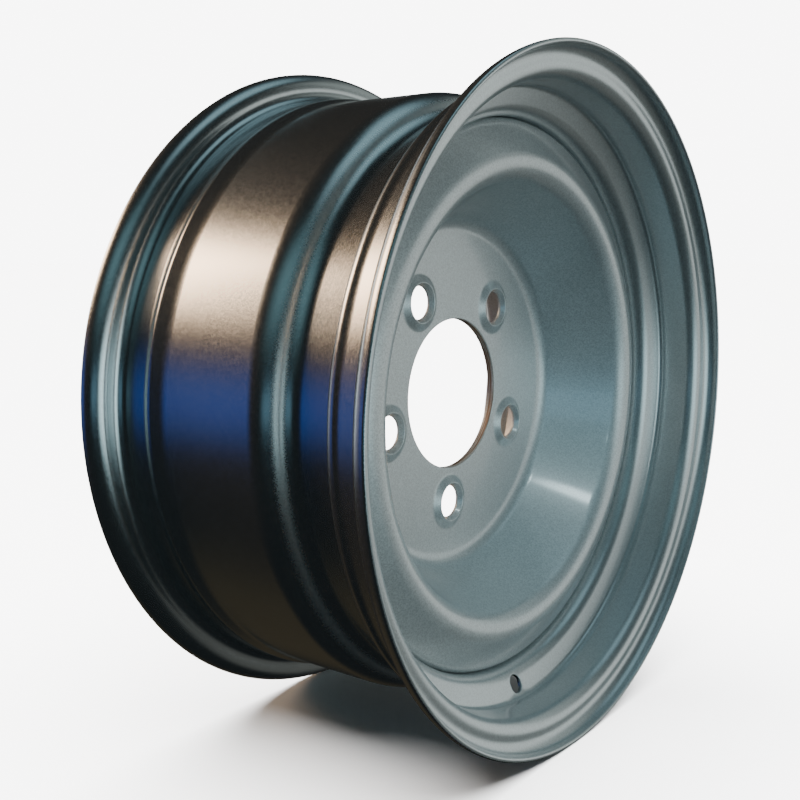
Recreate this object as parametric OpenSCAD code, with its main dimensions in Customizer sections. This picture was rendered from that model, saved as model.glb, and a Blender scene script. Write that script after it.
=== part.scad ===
// Pressed steel wheel rim with a deep dished disc, for a light trailer or farm cart.
// The wheel turns about the Y axis, its outboard side looks towards -Y, and y = 0 is
// the centre plane of the rim. Sections are drawn as [radius, y].

/* [Rim flanges and bead seats] */
// Diameter at the bead seats
bead_d = 380.2; // [340:0.1:430]
// Width between the two flange faces
rim_w = 177.8; // [160:0.1:220]
// Thickness of the rolled sheet
rim_t = 2.8; // [2:0.1:3.4]
// Height of a flange above its bead seat
flange_h = 17.4; // [16:0.1:22]
// Radius of the flange curl on the tyre side
curl_r = 10.5; // [7:0.1:11]
// Straight land at the end of the curl
lip_w = 0.4; // [0.2:0.1:4]
// Corner radius between a flange and its bead seat
heel_r = 6.5; // [4:0.1:8]
// Width of a bead seat, measured from the flange face
seat_w = 19.5; // [16:0.1:24]
// Taper of a bead seat
seat_taper = 5; // [0:0.5:10]
// Angle at which the sheet rises from a seat to its safety hump
hump_rise = 15; // [8:0.5:25]
// Bend radius over the humps
hump_r = 6; // [4.5:0.1:9]
// Bend radius at the inner edge of a bead seat
seat_edge_r = 10; // [6:0.1:20]
// Run from the front seat to the shoulder above the well
shoulder_w = 6.7; // [5:0.1:12]
// Run from the rear seat to the top of its hump
hump_w = 3.4; // [3:0.1:8]

/* [Rim well] */
// Outside diameter of the well floor
well_d = 345; // [320:0.1:360]
// Distance between the two bends of the well floor
floor_w = 29.4; // [26:0.1:45]
// Slope of the front well wall against the axle
front_slope = 66; // [55:0.5:75]
// Slope of the rear well wall against the axle
rear_slope = 59; // [40:0.5:65]
// Bend radius where the front wall meets the floor
front_bend_r = 7; // [4:0.1:10]
// Bend radius where the floor meets the rear wall
rear_bend_r = 11.5; // [6:0.1:14]
// Outside diameter of the wide ledge behind the well
ledge_d = 373.6; // [364:0.1:380]
// Bend radius from the rear wall onto the ledge
ledge_bend_r = 17; // [8:0.1:20]
// Slope from the ledge up to the rear hump
ledge_rise = 14; // [8:0.5:20]
// Bend radius at the foot of the rear hump
ledge_foot_r = 20; // [10:0.5:30]

/* [Valve hole] */
// Diameter of the valve hole
valve_d = 11.5; // [8:0.1:14]
// Turn of the valve hole from straight down, seen from outboard
valve_turn = 2.9; // [-180:0.1:180]
// Height of the valve hole on the front well wall, as a share of the wall
valve_up = 0.41; // [0.38:0.01:0.6]

/* [Disc] */
// Thickness of the pressed sheet
disc_t = 5.5; // [4:0.1:6.5]
// Distance of the mounting face outboard of the centre plane
offset_y = 0; // [-10:0.5:15]
// Diameter where the flat pad would meet the dish wall
pad_d = 218.6; // [205:0.1:236]
// Bend radius between the pad and the dish wall
pad_bend_r = 11; // [8:0.1:18]
// Diameter where the dish wall would meet the crown
crest_d = 274.8; // [260:0.1:290]
// Bend radius over the crest of the crown
crest_r = 14; // [9:0.1:16]
// Fall of the crown from its crest to the outer bend
crown_fall = 14.2; // [8:0.1:18]
// Bend radius from the crown into the outer flange
crown_bend_r = 8; // [7.2:0.1:9]
// Distance from the front bend of the well floor to the crown's outer bend
crown_inset = 5.3; // [4:0.1:9]

/* [Hub fixing] */
// Diameter of the centre bore
bore_d = 96; // [70:0.1:98]
// Chamfer on both edges of the bore
bore_chamfer = 0.5; // [0.2:0.1:1]
// Number of stud holes
stud_n = 5; // [4:1:6]
// Pitch circle diameter of the stud holes
stud_pcd = 140; // [136:0.1:150]
// Diameter of a stud hole
stud_d = 20.5; // [14:0.1:21]
// Turn of the lowest stud hole from straight down, seen from outboard
stud_turn = 3.9; // [-36:0.1:36]
// Full angle of the conical nut seats
nut_cone = 60; // [50:1:90]
// Diameter of the raised collar round a nut seat
collar_d = 36.8; // [35:0.1:40]
// Height of a collar above the pad, to its crest before rounding
collar_h = 3.3; // [2:0.1:4.4]
// Depth below the pad at which a nut seat reaches its hole
cone_depth = 0.2; // [0.1:0.1:1]
// Rounding of a collar's crest
collar_round = 0.8; // [0.4:0.1:2]
// Bend radius at the foot of a collar
collar_foot_r = 4; // [2:0.1:6]
// Diameter of the relief behind a nut seat
relief_d = 34; // [30:0.1:35]
// Depth of the relief behind a nut seat
relief_depth = 4; // [2:0.1:4.5]

/* [Welds] */
// Number of weld runs between the disc and the rim
weld_n = 8; // [4:1:12]
// Length of a weld run
weld_len = 60; // [30:1:70]
// Leg of the weld fillet
weld_leg = 4; // [2.5:0.1:4.5]
// Bulge of the weld's free face
weld_bulge = 0.7; // [0.2:0.1:1.2]

/* [Hidden] */
$fn = 96;
bend_step = 6;
cut = 1;
lap = 0.5;
half_w = rim_w / 2;
bead_r = bead_d / 2;
flange_r = bead_r + flange_h;
well_r = well_d / 2;
ledge_r = ledge_d / 2;
seat_edge_rad = bead_r - seat_w * tan(seat_taper);
seat_edge_y = half_w - seat_w;
shoulder = [seat_edge_rad + shoulder_w * tan(hump_rise), shoulder_w - seat_edge_y];
hump = [seat_edge_rad + hump_w * tan(hump_rise), seat_edge_y - hump_w];
floor_front = shoulder.y + abs(shoulder.x - well_r) / tan(front_slope);
floor_rear = floor_front + floor_w;
ledge_front = floor_rear + abs(ledge_r - well_r) / tan(rear_slope);
ledge_rear = hump.y - abs(hump.x - ledge_r) / tan(ledge_rise);

// Tyre side of the rim from the front lip to the rear lip, each corner as [radius, y, bend radius]
rim_path = [
    [flange_r, -half_w - curl_r - lip_w, 0],
    [flange_r, -half_w, curl_r],
    [bead_r, -half_w, heel_r],
    [seat_edge_rad, -seat_edge_y, seat_edge_r],
    [shoulder.x, shoulder.y, hump_r],
    [well_r, floor_front, front_bend_r],
    [well_r, floor_rear, rear_bend_r],
    [ledge_r, ledge_front, ledge_bend_r],
    [ledge_r, ledge_rear, ledge_foot_r],
    [hump.x, hump.y, hump_r],
    [seat_edge_rad, seat_edge_y, seat_edge_r],
    [bead_r, half_w, heel_r],
    [flange_r, half_w, curl_r],
    [flange_r, half_w + curl_r + lip_w, 0],
];

// Front of the disc from the bore to the rear edge of its outer flange
seat_r = well_r - rim_t;
floor_end = floor_rear - bend_reach(rim_path, 6);
pad_y = -offset_y - disc_t;
crown_y = floor_front + crown_inset;
flange_end = floor_end - weld_leg - 0.1;
disc_path = [
    [bore_d / 2, pad_y, 0],
    [pad_d / 2, pad_y, pad_bend_r],
    [crest_d / 2, crown_y - crown_fall, crest_r],
    [seat_r, crown_y, crown_bend_r],
    [seat_r, flange_end, 0],
];

// Pressed nut seat as [radius, height above the pad, bend radius], from the pad's front through the
// hole to the pad's back
crest_rad = stud_d / 2 + (collar_h + cone_depth) * tan(nut_cone / 2);
seat_path = [
    [collar_d / 2 + lap, 0, 0],
    [collar_d / 2 - 1, 0, collar_foot_r],
    [crest_rad, collar_h, collar_round],
    [stud_d / 2, -cone_depth, 0],
    [stud_d / 2, relief_depth - disc_t, 0],
    [relief_d / 2, -disc_t, 0],
    [collar_d / 2 + lap, -disc_t, 0],
];

// Sheet sections
function at(path, i) = [path[i].x, path[i].y];
function heading(path, i) = (at(path, i + 1) - at(path, i)) / norm(at(path, i + 1) - at(path, i));
function left(v) = [-v.y, v.x];
function turned(v, a) = [v.x * cos(a) - v.y * sin(a), v.x * sin(a) + v.y * cos(a)];
function bend(path, i) =
    let (u = heading(path, i - 1), v = heading(path, i))
    atan2(u.x * v.y - u.y * v.x, u * v);
function is_bend(path, i) = i > 0 && i < len(path) - 1;
function wanted(path, i) = is_bend(path, i) ? path[i].z * tan(abs(bend(path, i)) / 2) : 0;
// Share of the wanted bends that the straight run after corner i has room for
function room(path, i) =
    let (need = wanted(path, i) + wanted(path, i + 1))
    need == 0 ? 1 : min(1, 0.99 * norm(at(path, i + 1) - at(path, i)) / need);
function bend_r(path, i) = path[i].z * min(room(path, i - 1), room(path, i));
function bend_reach(path, i) = bend_r(path, i) * tan(abs(bend(path, i)) / 2);
// Points of one bend on the face that lies a distance d to the left of the path
function bend_points(path, i, d) =
    let (a = bend(path, i), s = sign(a), r = bend_r(path, i), u = heading(path, i - 1))
    let (centre = at(path, i) - u * bend_reach(path, i) + left(u) * s * r)
    let (n = max(2, ceil(abs(a) / bend_step)))
    [for (k = [0:n]) centre - turned(left(u), a * k / n) * s * (r - s * d)];
function face(path, d) = let (last = len(path) - 1) concat(
    [at(path, 0) + left(heading(path, 0)) * d],
    [for (i = [1:last - 1]) each bend_points(path, i, d)],
    [at(path, last) + left(heading(path, last - 1)) * d]
);
function reversed(list) = [for (i = [len(list) - 1:-1:0]) list[i]];
// Half-round end of a sheet of thickness t, from its left face round to its right face
function round_end(p, u, t) =
    [for (a = [150:-30:30]) p + left(u) * t / 2 + turned(u, a - 90) * t / 2];

module sheet(path, t, round_ends = false) {
    last = len(path) - 1;
    tail = round_ends ? reversed(round_end(at(path, last), heading(path, last - 1), t)) : [];
    head = round_ends ? reversed(round_end(at(path, 0) + left(heading(path, 0)) * t, -heading(path, 0), t)) : [];
    polygon(concat(face(path, 0), tail, reversed(face(path, t)), head));
}

// Turns a section of [radius, y] about the wheel's axis
module turned_about_axle(angle = 360) {
    rotate([-90, 0, 0])
        rotate_extrude(angle = angle)
            children();
}

// Places a feature that is drawn along +Z so that it points outboard at radius r
module outboard_at(r, turn, y) {
    rotate([0, 90 + turn, 0])
        translate([r, y, 0])
            rotate([90, 0, 0])
                children();
}

// Rolled barrel with flanges, tapered bead seats, humps, drop centre and valve hole
module rim() {
    foot = [well_r, floor_front];
    wall = shoulder - foot;
    valve = foot + valve_up * wall;
    color([0.62, 0.65, 0.66])
    difference() {
        turned_about_axle()
            sheet(rim_path, rim_t, true);
        rotate([0, 90 + valve_turn, 0])
            translate([valve.x, valve.y, 0])
                rotate([90, 0, atan2(wall.y, wall.x)])
                    cylinder(d = valve_d, h = 8 * rim_t, center = true);
    }
}

// Raised collar with a conical nut seat, drawn round +Z with the pad at z = 0
module nut_seat() {
    rotate_extrude()
        polygon(face(seat_path, 0));
}

// Repeats a feature at every stud hole, with the pad at z = 0
module at_studs() {
    for (k = [0:stud_n - 1])
        outboard_at(stud_pcd / 2, stud_turn + k * 360 / stud_n, pad_y)
            children();
}

// Pressed disc with flat pad, dish, crown, outer flange, centre bore and nut seats
module disc() {
    color([0.66, 0.69, 0.69])
    difference() {
        union() {
            difference() {
                turned_about_axle()
                    sheet(disc_path, disc_t);
                at_studs()
                    translate([0, 0, -disc_t - cut])
                        cylinder(d = collar_d, h = disc_t + 2 * cut);
            }
            at_studs()
                nut_seat();
        }
        for (side = [-1, 1])
            translate([0, pad_y + disc_t / 2, 0])
                rotate([side * 90, 0, 0])
                    translate([0, 0, disc_t / 2 - bore_chamfer])
                        cylinder(d1 = bore_d, d2 = bore_d + 4 * bore_chamfer, h = 2 * bore_chamfer);
    }
}

// Fillet welds behind the disc's outer flange, in runs with gaps between them
module weld_beads() {
    span = weld_len / seat_r * 180 / PI;
    toe = [seat_r, flange_end + weld_leg];
    top = [seat_r - weld_leg, flange_end];
    crown = (toe + top) / 2 + [-weld_bulge, weld_bulge];
    color([0.58, 0.61, 0.61])
    for (k = [0:weld_n - 1])
        rotate([0, k * 360 / weld_n, 0])
            turned_about_axle(span)
                polygon([[seat_r, flange_end], toe, crown, top]);
}

rim();
disc();
weld_beads();
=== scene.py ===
"""Studio scene of a pressed steel wheel: smooth painted sheets, rippled welds, lights and camera."""
import logging
import math
from collections.abc import Callable, Sequence
from dataclasses import dataclass, field
from enum import Enum
from typing import ClassVar

import bmesh
import bpy
from bmesh.types import BMesh, BMVert
from bpy.types import Material, Mesh, NodeSocket, NodeTree, Object
from mathutils import Matrix, Vector
from mathutils.geometry import delaunay_2d_cdt
from mathutils.kdtree import KDTree


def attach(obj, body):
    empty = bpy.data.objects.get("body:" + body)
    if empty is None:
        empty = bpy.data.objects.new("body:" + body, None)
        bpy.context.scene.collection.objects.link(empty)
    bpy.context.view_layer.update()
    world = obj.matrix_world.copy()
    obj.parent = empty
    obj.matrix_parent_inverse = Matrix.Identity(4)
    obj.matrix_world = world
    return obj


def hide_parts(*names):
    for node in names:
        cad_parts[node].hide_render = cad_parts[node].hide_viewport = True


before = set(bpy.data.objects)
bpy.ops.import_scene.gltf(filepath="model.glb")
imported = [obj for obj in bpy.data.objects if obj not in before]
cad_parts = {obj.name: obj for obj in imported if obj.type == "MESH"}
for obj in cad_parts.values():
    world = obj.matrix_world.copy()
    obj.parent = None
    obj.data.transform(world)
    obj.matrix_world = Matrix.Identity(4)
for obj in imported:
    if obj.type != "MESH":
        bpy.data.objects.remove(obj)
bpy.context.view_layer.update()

Triple = tuple[float, float, float]

LOG = logging.getLogger("wheel")
MM = 0.001
# Merged points in metres, straight corners in radians and flat fills in millimetres.
WELD_DISTANCE = 1e-6
SMALLEST_TURN = 1e-6
FLAT_TOLERANCE = 1e-7
# What a place is multiplied by to leave out its part along the axle.
ACROSS_AXLE: Triple = (1.0, 0.0, 1.0)


class Body(Enum):
    """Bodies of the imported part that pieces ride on."""

    ROOT = "root"


class Slot(Enum):
    """Material slots of the record."""

    BARREL = "barrel_paint"
    DISC = "disc_paint"
    WELD = "weld_paint"


class Node(Enum):
    """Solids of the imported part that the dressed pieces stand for."""

    RIM = "rim"
    DISC = "disc"
    WELDS = "weld_beads"


@dataclass(frozen=True)
class Corner:
    """Corner of a sheet's section in millimetres: radius, place along the axle and bend radius."""

    radius: float
    axial: float
    bend: float = 0.0


@dataclass(frozen=True)
class SheetSection:
    """Section of a bent sheet, with one face along the corners and the other to their left.

    Attributes:
        corners: Corners of the first face in order.
        thickness: Sheet thickness in millimetres.
        step_deg: Largest turn between two points of a bend.
        support: Distance of the extra points beside each bend, which keep flat runs flat in shading.
        fill: Largest share of a straight run that its bends may take up.
        shortest: Shortest straight run that gets extra points, in support distances.
        round_turns: Turns of the points on a half-round end, in degrees.
        ease_turns: Turns of the points on an eased edge, in degrees.
    """

    corners: tuple[Corner, ...]
    thickness: float = 0.0
    step_deg: float = 7.0
    support: float = 0.5
    fill: float = 0.99
    shortest: float = 3.0
    round_turns: Sequence[float] = range(-75, 76, 15)
    ease_turns: Sequence[float] = range(0, 91, 30)

    def point(self, i: int) -> Vector:
        """Return corner i as a vector of radius and axial place."""
        return Vector((self.corners[i].radius, self.corners[i].axial))

    def heading(self, i: int) -> Vector:
        """Return the unit direction from corner i to the next."""
        return (self.point(i + 1) - self.point(i)).normalized()

    @staticmethod
    def left(v: Vector) -> Vector:
        """Return a vector turned a quarter to the left."""
        return Vector((-v.y, v.x))

    def turn(self, i: int) -> float:
        """Return the signed turn at corner i in radians."""
        u, v = self.heading(i - 1), self.heading(i)
        return math.atan2(u.x * v.y - u.y * v.x, u.dot(v))

    def wanted(self, i: int) -> float:
        """Return the run that the full bend at corner i would take up on each side."""
        inner = 0 < i < len(self.corners) - 1
        return self.corners[i].bend * math.tan(abs(self.turn(i)) / 2) if inner else 0.0

    def room(self, i: int) -> float:
        """Return the share of the wanted bends that the run after corner i has room for."""
        need, length = self.wanted(i) + self.wanted(i + 1), (self.point(i + 1) - self.point(i)).length
        return 1.0 if need == 0 else min(1.0, self.fill * length / need)

    def bend_radius(self, i: int) -> float:
        """Return the bend radius that fits at corner i."""
        return self.corners[i].bend * min(self.room(i - 1), self.room(i))

    def reach(self, i: int) -> float:
        """Return the distance from corner i to the ends of its bend."""
        return self.bend_radius(i) * math.tan(abs(self.turn(i)) / 2)

    def bend(self, i: int, depth: float) -> list[Vector]:
        """Return the points of one bend.

        Args:
            i: Corner.
            depth: Distance to the left of the corner path.

        Returns:
            Points from the bend's start to its end.
        """
        angle, u = self.turn(i), self.heading(i - 1)
        if self.corners[i].bend == 0 or abs(angle) < SMALLEST_TURN:
            return [self.point(i) + self.left(u) * depth]
        side, r = math.copysign(1.0, angle), self.bend_radius(i)
        centre = self.point(i) - u * self.reach(i) + self.left(u) * side * r
        steps = max(2, math.ceil(math.degrees(abs(angle)) / self.step_deg))
        points = []
        for k in range(steps + 1):
            spoke = Matrix.Rotation(angle * k / steps, 2) @ self.left(u)
            points.append(centre - spoke * side * (r - side * depth))
        return points

    def face(self, depth: float) -> list[Vector]:
        """Return one face of the sheet.

        Args:
            depth: Distance to the left of the corner path.

        Returns:
            Points along the face, with support points at the ends of straight runs.
        """
        last = len(self.corners) - 1
        runs = [[self.point(0) + self.left(self.heading(0)) * depth]]
        runs += [self.bend(i, depth) for i in range(1, last)]
        runs.append([self.point(last) + self.left(self.heading(last - 1)) * depth])
        points = list(runs[0])
        for before, run in zip(runs, runs[1:]):
            gap = run[0] - before[-1]
            if gap.length > self.shortest * self.support:
                step = gap.normalized() * self.support
                points += [before[-1] + step, run[0] - step]
            points += run
        return points

    def round_end(self) -> list[Vector]:
        """Round off the end of the sheet at the last corner.

        Returns:
            Points of the half circle from the first face to the second.
        """
        last = len(self.corners) - 1
        u = self.heading(last - 1)
        middle = self.point(last) + self.left(u) * self.thickness / 2
        turns = map(math.radians, self.round_turns)
        return [middle + (Matrix.Rotation(a, 2) @ u) * self.thickness / 2 for a in turns]

    def eased_end(self, ease: float) -> list[Vector]:
        """Return a square end of the last corner with eased edges.

        Args:
            ease: Radius of both edges.

        Returns:
            Points from the first face to the second.
        """
        last = len(self.corners) - 1
        u = self.heading(last - 1)
        side = self.left(u)
        near = self.point(last) + (side - u) * ease
        far = self.point(last) + side * (self.thickness - ease) - u * ease
        turns = [math.radians(a) for a in self.ease_turns]
        points = [near + (u * math.sin(a) - side * math.cos(a)) * ease for a in turns]
        return points + [far + (u * math.cos(a) + side * math.sin(a)) * ease for a in turns]


@dataclass
class FaceLine:
    """One face of a section, measured along its run. Sizes in millimetres."""

    points: list[Vector]
    runs: list[float] = field(init=False)

    def __post_init__(self) -> None:
        """Add up the run at each point."""
        self.runs = [0.0]
        for a, b in zip(self.points, self.points[1:]):
            self.runs.append(self.runs[-1] + (b - a).length)

    def along(self, run: float) -> Vector:
        """Find a point of the face.

        Args:
            run: Run along the face.

        Returns:
            The section point there.
        """
        k = max(i for i, r in enumerate(self.runs[:-1]) if r <= run)
        share = (run - self.runs[k]) / (self.runs[k + 1] - self.runs[k])
        return self.points[k].lerp(self.points[k + 1], share)

    def crossing(self, centre: Vector, way: Vector) -> float:
        """Find where a straight line crosses the face.

        Args:
            centre: A point of the line.
            way: Direction of the line.

        Returns:
            Run along the face at the crossing that is nearest to the point.
        """
        side = SheetSection.left(way)
        found = []
        for k, (a, b) in enumerate(zip(self.points, self.points[1:])):
            da, db = (a - centre).dot(side), (b - centre).dot(side)
            if da * db <= 0 and da != db:
                run = self.runs[k] + (self.runs[k + 1] - self.runs[k]) * da / (da - db)
                found.append((abs((a - centre).dot(way)), run))
        return min(found)[1]


@dataclass(frozen=True)
class FaceCoatWithPaintedLight:
    """Duller coat on the open faces of the barrel, away from the tyre, which are painted brighter than the
    tyre side as painted light.

    Attributes:
        gain: Painted light: how much brighter these faces are painted than the tyre side.
        metallic: Share of metal in the paint.
        roughness: Roughness under the coat.
        crossover: Half width of the band about the middle plane in which front turns to rear, in metres.
        lean: How far a face leans to the tyre where this coat starts and where it is full.
    """

    gain: float
    metallic: float
    roughness: float
    crossover: float = 0.02
    lean: tuple[float, float] = (0.1, -0.3)


@dataclass(frozen=True)
class PunchedWall:
    """Wall of a punched bore, with painted streaks of steel from the punching, whose brown tone is partly a
    painted reflection.

    Attributes:
        radius: Radius of the bore in metres.
        tone: Brown colour of the streaks, partly the steel's own and partly painted reflection.
        fade: Distances from the wall at which the streaks end and are full, in metres.
        streaks: Streaks per metre in each direction.
        bare_and_reflected: Noise at which the streaks start to show and show fully.
    """

    radius: float
    tone: Triple = (0.36, 0.26, 0.2)
    fade: tuple[float, float] = (0.0005, 0.0001)
    streaks: Triple = (30.0, 900.0, 30.0)
    bare_and_reflected: tuple[float, float] = (0.42, 0.56)


@dataclass(frozen=True)
class PaintFinish:
    """Silver metallic paint with flakes under a clear coat.

    Attributes:
        name: Material name.
        tone: Base colour.
        shade: Darker colour of the cloudy drift.
        flake_scale: Flakes per metre.
        flake_tilt: How far single flakes lean.
        flake_contrast: How much single flakes differ in brightness.
        flake_dulling: How much single flakes differ in roughness.
        metallic: Share of metal in the paint.
        roughness: Roughness under the coat.
        coat: Weight of the clear coat.
        coat_roughness: Roughness of the clear coat.
        peel: Depth of the orange peel in metres.
        peel_scale: Orange peel waves per metre.
        drift: Noise at which the shade ends and the full tone starts.
        face: Other coat on the faces away from the tyre, with painted light that brightens them, if there is
            one.
        wall: Punched wall with its streaks, partly painted reflection, if there is one.
    """

    name: str
    tone: Triple
    shade: Triple
    flake_scale: float = 1400.0
    flake_tilt: float = 0.005
    flake_contrast: float = 0.2
    flake_dulling: float = 0.06
    metallic: float = 0.92
    roughness: float = 0.24
    coat: float = 0.5
    coat_roughness: float = 0.05
    peel: float = 0.000003
    peel_scale: float = 320.0
    drift: tuple[float, float] = (0.35, 0.65)
    face: FaceCoatWithPaintedLight | None = None
    wall: PunchedWall | None = None


class NodeSheet:
    """Small helper that adds and links nodes of one tree."""

    def __init__(self, tree: NodeTree) -> None:
        """Keep the tree that nodes are added to."""
        self.tree = tree

    @classmethod
    def start(cls, name: str, kind: str, inputs: dict[str, str], outputs: dict[str, str]) -> "NodeSheet":
        """Start a node tree of its own.

        Args:
            name: Name of the tree.
            kind: Type of the tree.
            inputs: Kinds of its input sockets by name.
            outputs: Kinds of its output sockets by name.

        Returns:
            A helper on the new tree.
        """
        tree = bpy.data.node_groups.new(name, kind)
        for way, sockets in (("INPUT", inputs), ("OUTPUT", outputs)):
            for label, socket in sockets.items():
                tree.interface.new_socket(label, in_out=way, socket_type="NodeSocket" + socket)
        return cls(tree)

    def add(self, kind: str, links: dict | None = None, **values: object) -> bpy.types.Node:
        """Add a node.

        Args:
            kind: Node type.
            links: Output sockets or plain values by input name or index.
            **values: Properties of the node.

        Returns:
            The new node.
        """
        node = self.tree.nodes.new(kind)
        for key, value in values.items():
            setattr(node, key, value)
        for key, value in (links or {}).items():
            if isinstance(value, NodeSocket):
                self.tree.links.new(value, node.inputs[key])
            else:
                node.inputs[key].default_value = value
        return node

    def math(self, operation: str, *terms: object) -> NodeSocket:
        """Add a math node and return its value."""
        return self.add("ShaderNodeMath", dict(enumerate(terms)), operation=operation).outputs[0]

    def vector(self, operation: str, *terms: object, result: int = 0) -> NodeSocket:
        """Add a vector math node and return one of its results, the vector or, as result 1, the value."""
        return self.add("ShaderNodeVectorMath", dict(enumerate(terms)), operation=operation).outputs[result]

    def scaled(self, vector: object, factor: object) -> NodeSocket:
        """Return a vector or colour times a factor."""
        return self.add("ShaderNodeVectorMath", {0: vector, "Scale": factor}, operation="SCALE").outputs[0]

    def share(self, value: NodeSocket, none: float, full: float, **values: object) -> NodeSocket:
        """Return a share from 0 where a value is none to 1 where it is full."""
        ends = {"Value": value, "From Min": none, "From Max": full}
        return self.add("ShaderNodeMapRange", ends, **values).outputs["Result"]

    def between(self, share: NodeSocket, low: float, high: float) -> NodeSocket:
        """Return a value that goes from low to high with a share."""
        ends = {"Value": share, "To Min": low, "To Max": high}
        return self.add("ShaderNodeMapRange", ends).outputs["Result"]


class PaintShop:
    """Builds the paint materials and the effects that they share."""

    cloud_scale: ClassVar[float] = 14.0
    cloud_detail: ClassVar[float] = 4.0
    peel_detail: ClassVar[float] = 1.0
    streak_detail: ClassVar[float] = 2.0

    def __init__(self) -> None:
        """Build the shared effects."""
        self.flakes = self._flake_group()
        self.drift = self._drift_group()

    @staticmethod
    def _flake_group() -> NodeTree:
        """Build the effect of single metal flakes that lean and shine differently.

        Returns:
            The shader node group.
        """
        sheet = NodeSheet.start("Metal flakes", "ShaderNodeTree", {
            "Vector": "Vector", "Scale": "Float", "Tilt": "Float"}, {"Shine": "Float", "Normal": "Vector"})
        source = sheet.add("NodeGroupInput").outputs
        cells = sheet.add("ShaderNodeTexVoronoi", {"Vector": source["Vector"], "Scale": source["Scale"]})
        lean = sheet.vector("SUBTRACT", cells.outputs["Color"], (0.5, 0.5, 0.5))
        normal = sheet.add("ShaderNodeNewGeometry").outputs["Normal"]
        tilted = sheet.vector("ADD", normal, sheet.scaled(lean, source["Tilt"]))
        shine = sheet.add("ShaderNodeSeparateColor", {"Color": cells.outputs["Color"]}).outputs["Green"]
        sheet.add("NodeGroupOutput", {"Shine": shine, "Normal": sheet.vector("NORMALIZE", tilted)})
        return sheet.tree

    def _drift_group(self) -> NodeTree:
        """Build the effect of paint that lies a little unevenly.

        Returns:
            The shader node group.
        """
        sheet = NodeSheet.start("Paint drift", "ShaderNodeTree", {
            "Vector": "Vector", "Scale": "Float"}, {"Cloud": "Float", "Peel": "Float"})
        source = sheet.add("NodeGroupInput").outputs
        cloud = sheet.add("ShaderNodeTexNoise", {
            "Vector": source["Vector"], "Scale": self.cloud_scale, "Detail": self.cloud_detail})
        peel = sheet.add("ShaderNodeTexNoise", {
            "Vector": source["Vector"], "Scale": source["Scale"], "Detail": self.peel_detail})
        sheet.add("NodeGroupOutput", {"Cloud": cloud.outputs["Fac"], "Peel": peel.outputs["Fac"]})
        return sheet.tree

    def mix(self, finish: PaintFinish) -> Material:
        """Mix one paint.

        Args:
            finish: The paint's values.

        Returns:
            The material.
        """
        material = bpy.data.materials.new(finish.name)
        material.use_nodes = True
        material.node_tree.nodes.clear()
        sheet = NodeSheet(material.node_tree)
        place = sheet.add("ShaderNodeTexCoord").outputs["Object"]
        lie = {"Vector": place, "Scale": finish.flake_scale, "Tilt": finish.flake_tilt}
        flakes = sheet.add("ShaderNodeGroup", lie, node_tree=self.flakes).outputs
        waves = {"Vector": place, "Scale": finish.peel_scale}
        drift = sheet.add("ShaderNodeGroup", waves, node_tree=self.drift).outputs
        darkest = 1.0 - finish.flake_contrast / 2
        gain = sheet.math("MULTIPLY_ADD", flakes["Shine"], finish.flake_contrast, darkest)
        colour = sheet.scaled(self._cloudy(sheet, drift["Cloud"], finish), gain)
        if finish.wall:
            # Partly painted reflection: brown streaks on the bore wall.
            colour = self._punched_and_reflected_streaks(sheet, place, finish.wall, colour)
        smoother = finish.flake_dulling / 2
        metal, dull = finish.metallic, finish.roughness - smoother
        if finish.face:
            front = self._coat_and_painted_light_faces(sheet, place, finish.face)
            # Painted light: the faces away from the tyre are painted brighter than the tyre side.
            colour = sheet.scaled(colour, sheet.between(front, 1.0, finish.face.gain))
            metal = sheet.between(front, metal, finish.face.metallic)
            dull = sheet.between(front, dull, finish.face.roughness - smoother)
        rough = sheet.math("MULTIPLY_ADD", flakes["Shine"], finish.flake_dulling, dull)
        bump = sheet.add("ShaderNodeBump", {
            "Height": drift["Peel"], "Distance": finish.peel, "Strength": 1.0, "Normal": flakes["Normal"]})
        shader = sheet.add("ShaderNodeBsdfPrincipled", {
            "Base Color": colour, "Roughness": rough, "Normal": bump.outputs["Normal"],
            "Metallic": metal, "Coat Weight": finish.coat, "Coat Roughness": finish.coat_roughness})
        sheet.add("ShaderNodeOutputMaterial", {"Surface": shader.outputs[0]})
        return material

    @staticmethod
    def _cloudy(sheet: NodeSheet, cloud: NodeSocket, finish: PaintFinish) -> NodeSocket:
        """Let the paint drift between its shade and its tone.

        Args:
            sheet: Node helper of the material.
            cloud: Noise that changes slowly over the surface.
            finish: The paint's values.

        Returns:
            Socket with the colour.
        """
        ramp = sheet.add("ShaderNodeValToRGB", {"Fac": cloud})
        stops = zip(ramp.color_ramp.elements, finish.drift, (finish.shade, finish.tone))
        for stop, position, colour in stops:
            stop.position = position
            stop.color = (*colour, 1.0)
        return ramp.outputs["Color"]

    @staticmethod
    def _coat_and_painted_light_faces(sheet: NodeSheet, place: NodeSocket, face: FaceCoatWithPaintedLight) -> NodeSocket:
        """Tell the open faces of the barrel, which take the other coat and the painted light, from its tyre
        side.

        Args:
            sheet: Node helper of the material.
            place: Object coordinates.
            face: Coat of the open faces.

        Returns:
            Socket with 1 on the faces away from the tyre and 0 elsewhere.
        """
        normal = sheet.add("ShaderNodeNewGeometry").outputs["Normal"]
        outwards = sheet.vector("NORMALIZE", sheet.vector("MULTIPLY", place, ACROSS_AXLE))
        axial = sheet.add("ShaderNodeSeparateXYZ", {0: place}).outputs["Y"]
        rear = sheet.share(axial, -face.crossover, face.crossover)
        inwards = sheet.add("ShaderNodeCombineXYZ", {"Y": sheet.between(rear, 1.0, -1.0)}).outputs[0]
        lean = sheet.vector("DOT_PRODUCT", normal, sheet.vector("ADD", outwards, inwards), result=1)
        return sheet.share(lean, *face.lean)

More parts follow.
